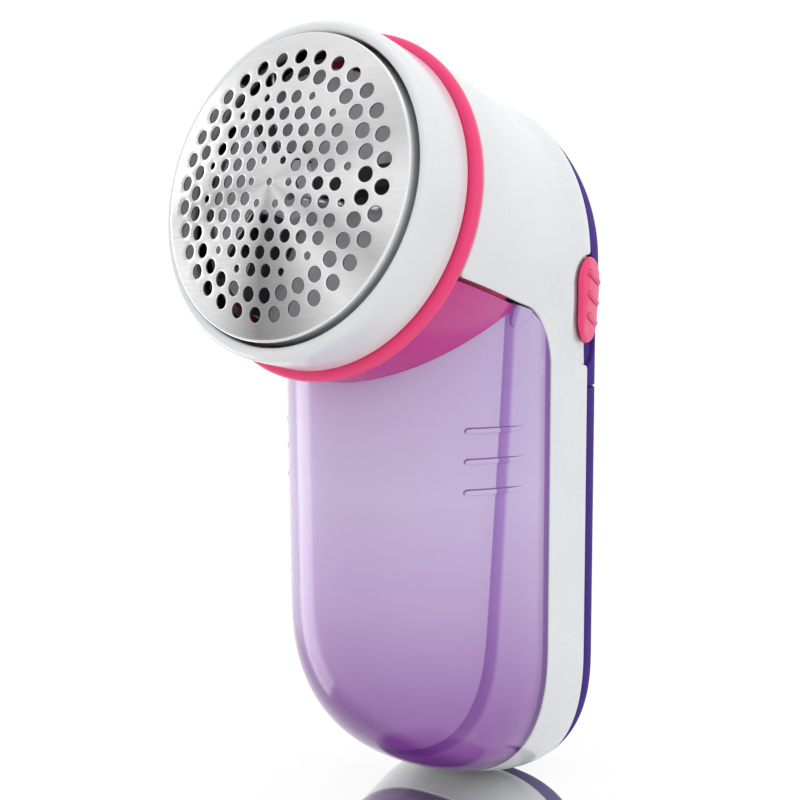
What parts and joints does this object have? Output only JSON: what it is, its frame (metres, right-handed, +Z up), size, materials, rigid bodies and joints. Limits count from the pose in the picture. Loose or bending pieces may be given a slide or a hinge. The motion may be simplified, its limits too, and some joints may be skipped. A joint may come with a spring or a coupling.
{
  "type": "fabric shaver",
  "caption": "Hand-held battery fabric shaver: round perforated foil over spinning blades on a tilted head, upright handle, slide-off lint container, slide switch and battery door.",
  "frame": {"origin": "bottom centre of the bounding box", "axes": "+Z up along the handle, the foil faces -Y and 10.8 degrees upwards, and the slide switch is on the +X side"},
  "size_m": [0.059, 0.0764, 0.137],
  "materials": {
    "white_shell": "glossy moulded",
    "purple_cover": "glossy moulded",
    "lilac_clear": "tinted, frosted and see-through",
    "pink_trim": "satin moulded",
    "foil_steel": "fine satin",
    "blade_steel": "ground",
    "dark_plastic": "matt moulded",
    "inner_white": "matt moulded",
    "motor_metal": "plated",
    "zinc_metal": "zinc plated",
    "terminal_brass": "bright",
    "cell_sleeve": "plain printed sleeve",
    "lead_red": "soft sleeve",
    "lead_black": "soft sleeve"
  },
  "bodies": {
    "housing": {"front_casing": "white_shell", "back_cover": "purple_cover", "trim_ring": "pink_trim", "fan_chamber": "pink_trim", "motor_can": "motor_metal", "motor_end_cap": "inner_white", "motor_bracket": "inner_white", "motor_terminal_left": "terminal_brass", "motor_terminal_right": "terminal_brass", "bracket_screw_left": "zinc_metal", "bracket_screw_right": "zinc_metal", "casing_screw_left": "zinc_metal", "casing_screw_right": "zinc_metal", "battery_tray": "inner_white", "contact_bridge": "zinc_metal", "contact_plate_left": "zinc_metal", "contact_plate_right": "zinc_metal", "battery_cell_left": "cell_sleeve", "battery_cell_right": "cell_sleeve", "switch_body": "dark_plastic", "container_latch": "inner_white", "lead_battery_to_motor": "lead_black", "lead_battery_to_switch": "lead_red", "lead_switch_to_motor": "lead_red"},
    "shaving_head": {"head_ring": "white_shell", "foil_screen": "foil_steel"},
    "rotor": {"motor_shaft": "blade_steel", "cutter_hub": "dark_plastic", "cutter_blade_1": "blade_steel", "cutter_blade_2": "blade_steel", "cutter_blade_3": "blade_steel", "cutter_spring": "zinc_metal", "impeller": "dark_plastic"},
    "switch": {"switch_button": "pink_trim", "switch_slider": "inner_white"},
    "container": {"lint_container": "lilac_clear"},
    "door": {"battery_door": "purple_cover"}
  },
  "joints": [
    {"name": "head_unlock", "type": "hinge", "parent": "housing", "child": "shaving_head", "pos_m": [0, -0.03399, 0.11021], "axis": [0, -0.9823, 0.1874], "range_deg": [0, 25]},
    {"name": "cutter_spin", "type": "hinge", "parent": "housing", "child": "rotor", "pos_m": [0, -0.03399, 0.11021], "axis": [0, -0.9823, 0.1874], "continuous": true},
    {"name": "switch_slide", "type": "slide", "parent": "housing", "child": "switch", "axis": [0, 0, -1], "range_m": [0, 0.0038]},
    {"name": "container_slide", "type": "slide", "parent": "housing", "child": "container", "axis": [0, 0, -1], "range_m": [0, 0.03]},
    {"name": "door_slide", "type": "slide", "parent": "housing", "child": "door", "axis": [0, 0, -1], "range_m": [0, 0.01]}
  ]
}
